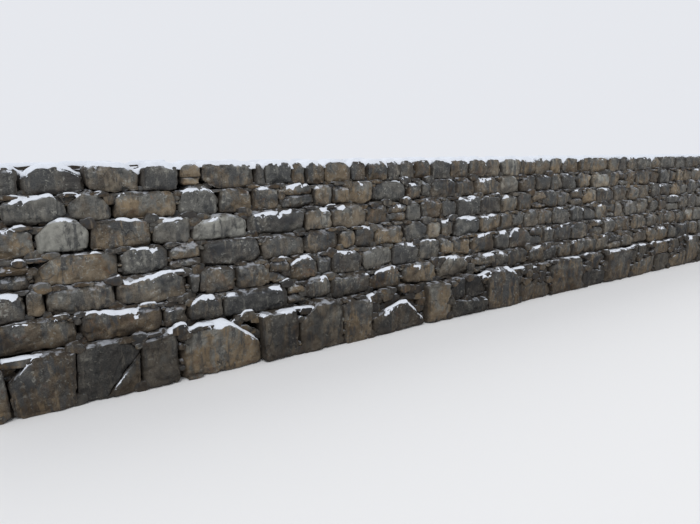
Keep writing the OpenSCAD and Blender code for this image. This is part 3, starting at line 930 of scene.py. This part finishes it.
def fill_gaps(builder, tree, turn, span, face, low, high, random, step=COARSE_GAP_STEP):
    """Wedges stones in the gaps of a side, the largest first. Most narrow upright joints stay open,
    and over the base course's slopes the stones sit further back."""
    us = np.arange(span[0] + step / 2, span[1], step)
    vs = np.arange(low, high, step)
    deep = look_for_gaps(tree, turn, face, us, vs)
    across, wide = run_lengths(deep)
    tall = run_lengths(deep.T)[1].T
    room = np.minimum(wide, tall)
    order = np.argwhere(room >= round(LEAST_GAP / step))
    rank = room[tuple(order.T)] * random.uniform(0.7, 1, len(order))
    taken = np.zeros(deep.shape, bool)
    for i, j in order[np.argsort(-rank)]:
        size_u = min(wide[i, j] * step, WIDEST_STONE) + 0.03
        size_v = min(tall[i, j] * step + 0.02, size_u * random.uniform(0.55, 1.1), TALLEST_STONE)
        a, b = (int(round(v / step)) for v in (size_u / 2 - 0.01, size_v / 2 - 0.004))
        mine = (slice(max(i - a, 0), i + a + 1), slice(max(j - b, 0), j + b + 1))
        if taken[i, j] or taken[mine].mean() > 0.4:
            continue
        taken[mine] = True
        if random.uniform() < (UPRIGHT_LEFT_OPEN if tall[i, j] > 2 * wide[i, j] else LEFT_OPEN):
            continue
        whole = wide[i, j] * step < WIDEST_STONE
        middle_u = us[0] + (across[i, j] + (wide[i, j] - 1) / 2) * step if whole else us[i]
        middle_u = np.clip(middle_u, span[0] + size_u / 2, span[1] - size_u / 2)
        middle_v = max(vs[j], size_v / 2 + 0.004)
        on_slope = any(start < middle_u - left_end < end for start, end in SET_BACK)
        back = SET_BACK_BY if turn is FRONT and on_slope and middle_v < SET_BACK_BELOW else 0
        wedged = wedge(random, (middle_u, middle_v), (size_u, size_v), face + back, turn)
        builder.add(*wedged, shaded_small_tint(random))


def wedge_stones(bay):
    """A bay's small stones, in its face, its back and its cut end."""
    builder = Builder("wedged")
    start, end = stretch(bay)
    random = rng(bay, 55)
    fronts = tree_of(["pins", *numbers], start, end)
    for course in numbers:
        low = bed(course) - 0.01
        high = bed(course + 1) + 0.02 if course < total else bed(course) + 0.22
        fill_gaps(builder, fronts, FRONT, (start, end), face_of(course), low, high, random, GAP_STEP)
    under_top = cad_high[2] - 0.12
    fill_gaps(builder, tree_of(["back"], start, end), BACK, (-end, -start), -rear, 0.01, under_top, random)
    for turn, outer in ((LEFT, left_end), (RIGHT, right_end)):
        if abs(outer - (start + end) / 2) < bay_length:
            rest = tree_of([*numbers, "back", "rubble"], outer - 0.6, outer + 0.6)
            for course in numbers:
                span = sorted(turn[0, 1] * y for y in (face_of(course) + 0.1, rear - 0.1))
                low, high = bed(course) + 0.01, min(bed(course + 1), under_top)
                fill_gaps(builder, rest, turn, span, -abs(outer), low, high, random)
    builder.finish(f"gap_stones_bay_{bay}", stone)


def shifted(grid, i, j):
    """The grid moved by some cells, with nan where nothing comes in."""
    out = np.full(grid.shape, np.nan)
    n, m = grid.shape
    moved = grid[max(-i, 0):n + min(-i, 0), max(-j, 0):m + min(-j, 0)]
    out[max(i, 0):n + min(i, 0), max(j, 0):m + min(j, 0)] = moved
    return out


def opened(grid):
    """Only the cells that are in some block of three by two."""
    block = [(i, j) for i in range(3) for j in range(2)]
    core = np.stack([np.nan_to_num(shifted(grid, -i, -j)) for i, j in block]).min(0)
    return np.stack([np.nan_to_num(shifted(core, i, j)) for i, j in block]).max(0) > 0


def drifted(course, xs, z):
    """How thickly snow has drifted along a ledge, or on the wall's top."""
    if course == total:
        return TOP_DRIFT
    along = (xs - left_end)[:, None]
    amount = np.where(along < DRIFTS_END, 0.0, FAR_DRIFT)
    for start, end, thick in DRIFTS[course]:
        rises = smoothstep(start - 0.08, start + 0.08, along)
        falls = smoothstep(end + 0.08, end - 0.08, along)
        amount = np.maximum(amount, thick * rises * falls)
    for start, end, height in BARE_OVER:
        amount = np.where((course == 1) & (along > start) & (along < end) & (z > height), -1.0, amount)
    return amount


def heights(tree, xs, ys, top, low):
    """The height of what lies under each point, or nan where that is too low. Joints between level
    stones are bridged."""
    down = Vector((0, 0, -1))
    hits = [[tree.ray_cast(Vector((x, y, top)), down, top - low)[0] for y in ys] for x in xs]
    z = np.array([[np.nan if hit is None else hit.z for hit in row] for row in hits])
    left = np.fmax(shifted(z, 1, 0), shifted(z, 2, 0))
    right = np.fmax(shifted(z, -1, 0), shifted(z, -2, 0))
    joint = np.isnan(z) & (np.abs(left - right) < 0.08)
    z[joint] = np.minimum(left, right)[joint] - 0.012
    return z


def patches(xs, ys, top, heap):
    """Where snow lies, from 0 to 1: long ragged patches, wider where it is heaped."""
    gx, gy = np.meshgrid(xs, ys, indexing="ij")
    flat = np.stack([gx.ravel(), gy.ravel(), np.full(gx.size, top)], axis=1)
    along = flat * np.array([1.0, 0.3, 1.0])
    drift = 0.9 * gradient_noise(along, 0.9, 21) + 0.9 * gradient_noise(along, 0.24, 22)
    drift = drift + 0.5 + 0.35 * gradient_noise(flat, 0.07, 23)
    return smoothstep(0.7, 1.5, drift.reshape(gx.shape) + 1.2 * heap)


def sheet_mesh(xs, ys, cell, level, amount):
    """Closed sheets over some cells of a grid: their points and faces."""
    index = np.full(level.shape, -1)
    points, under, faces = [], [], []
    for i, j in zip(*np.nonzero(cell)):
        for a, b in ((i, j), (i + 1, j), (i + 1, j + 1), (i, j + 1)):
            if index[a, b] < 0:
                index[a, b] = len(points)
                points.append((xs[a], ys[b], level[a, b] + amount[a, b]))
                under.append((xs[a], ys[b], level[a, b] - SNOW_ROOT))
    count = len(points)
    inside = np.pad(cell, 1)
    for i, j in zip(*np.nonzero(cell)):
        a, b, c, d = index[i, j], index[i + 1, j], index[i + 1, j + 1], index[i, j + 1]
        faces += [(a, b, c, d), (count + d, count + c, count + b, count + a)]
        for off_i, off_j, p, q in ((0, -1, a, b), (1, 0, b, c), (0, 1, c, d), (-1, 0, d, a)):
            if not inside[i + 1 + off_i, j + 1 + off_j]:
                faces.append((q, p, count + p, count + q))
    return np.array(points + under), faces


def snow_sheet(name, course, kinds, bay, back, low, step, thick, shelter):
    """Closed sheets of snow on a course, from its face to back and no lower than low. They end at
    shelter, in Y."""
    start, end = stretch(bay)
    top = bed(course + 1) + 0.3
    front = face_of(course) - 0.02
    xs = np.linspace(start, end, round((end - start) / step) + 1)
    ys = np.linspace(front, back, round((back - front) / (step * 0.8)) + 1)
    z = heights(tree_of([course, *kinds], start, end), xs, ys, top, low)
    heap = drifted(course, xs, z)
    around = np.stack([shifted(z, i, j) for i in (-1, 0, 1) for j in (-1, 0, 1)])
    whole = np.ptp(around, axis=0) < 0.07 + 0.05 * heap
    level = np.where(whole, around.mean(0), z)
    inner = np.stack([shifted(whole, i, j) for i, j in ((1, 0), (-1, 0), (0, 1), (0, -1))])
    deep = whole & (np.nan_to_num(inner).min(0) > 0)
    slope_x, slope_y = shifted(z, 1, 0) - shifted(z, -1, 0), shifted(z, 0, 1) - shifted(z, 0, -1)
    steep = np.nan_to_num(np.hypot(slope_x, slope_y) / (2 * step), nan=9) - 0.65 * heap
    amount = thick * (0.6 + 0.4 * heap) * patches(xs, ys, top, heap)
    amount = amount * smoothstep(1.2, 0.4, steep) * smoothstep(shelter + 0.08, shelter, ys)
    amount = np.where(deep, amount, 0.45 * amount) - 0.006
    amount = np.where(whole, amount, -0.012)
    level_at, amount_at = (
        np.stack([grid[:-1, :-1], grid[1:, :-1], grid[:-1, 1:], grid[1:, 1:]]) for grid in (level, amount)
    )
    cell = opened((np.ptp(level_at, axis=0) < 0.06) & (amount_at.max(0) > 0.002))
    if not cell.any():
        return
    points, faces = sheet_mesh(xs, ys, cell, level, amount)
    obj = new_object(name, points, faces, snow)
    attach(obj, "root")


def lay_snow(bay):
    """A bay's snow, on its ledges and on its top."""
    for course in range(1, total):
        wall_over = face_of(course + 1)
        low = bed(course + 1) - (0.9 if course == 1 else 0.28)
        snow_sheet(f"snow_ledge_{course}_bay_{bay}", course, ["pins", "wedged"], bay,
                   wall_over + 0.24, low, LEDGE_SNOW_CELL[bay], 0.048, wall_over - 0.05)
    snow_sheet(f"snow_top_bay_{bay}", total, ["rubble", "back", "wedged"], bay,
               rear + 0.01, cad_high[2] - 0.28, TOP_SNOW_CELL, 0.046, 9)


def add_camera():
    """The camera at the photograph's place."""
    camera = in_scene("camera", bpy.data.cameras.new("camera"))
    camera.data.sensor_width = SENSOR_MM
    camera.data.lens = FOCAL_PX / PHOTO_WIDTH * SENSOR_MM
    camera.data.clip_end = 200
    camera.location = (left_end + CAMERA_PAST_END, foot - CAMERA_OFF_FACE, CAMERA_HEIGHT)
    camera.rotation_euler = (math.pi / 2 - CAMERA_DIP, 0, -CAMERA_TURN)
    bpy.context.scene.camera = camera


def add_floor():
    pale = Nodes("pale_floor")
    pale.shader.inputs["Base Color"].default_value = (*FLOOR, 1)
    pale.shader.inputs["Roughness"].default_value = 0.95
    ground = [(x * FLOOR_REACH, y * FLOOR_REACH, -0.002) for x, y in ((-1, -1), (1, -1), (1, 1), (-1, 1))]
    new_object("floor", np.array(ground), [(0, 1, 2, 3)], pale.material)


def add_sky():
    """A soft pale sky, brighter where it is seen or mirrored than in what it lights."""
    world = bpy.data.worlds.new("sky")
    bpy.context.scene.world = world
    world.use_nodes = True
    sky, link = world.node_tree.nodes, world.node_tree.links.new
    glow, seen = sky["Background"], sky.new("ShaderNodeBackground")
    for light, strength in ((glow, 0.55), (seen, 0.85)):
        light.inputs[0].default_value = (*SKY, 1)
        light.inputs[1].default_value = strength
    path = sky.new("ShaderNodeLightPath").outputs
    either = path["Is Camera Ray"]
    for kind in ("Is Glossy Ray", "Is Transmission Ray"):
        more = sky.new("ShaderNodeMath")
        more.operation = "MAXIMUM"
        link(either, more.inputs[0])
        link(path[kind], more.inputs[1])
        either = more.outputs[0]
    choose = sky.new("ShaderNodeMixShader")
    for k, socket in enumerate((either, glow.outputs[0], seen.outputs[0])):
        link(socket, choose.inputs[k])
    link(choose.outputs[0], sky["World Output"].inputs["Surface"])


def add_lamp(name, energy, tip, turned):
    """A soft wide lamp far off, tipped from overhead and turned, in degrees."""
    lamp = in_scene(name, bpy.data.lights.new(name, "SUN"))
    lamp.data.energy = energy
    lamp.data.angle = math.radians(40)
    lamp.rotation_euler = (math.radians(tip), 0, math.radians(turned))


dress_boulders()
for bay in bays:
    dress_rubble(bay)
for bay in bays:
    wedge_stones(bay)
for bay in bays:
    lay_snow(bay)

add_camera()
add_floor()
add_sky()
add_lamp("soft_sun", 1.6, 36, -30)
add_lamp("soft_fill", 0.7, 48, 160)
bpy.context.scene.view_settings.view_transform = "Standard"
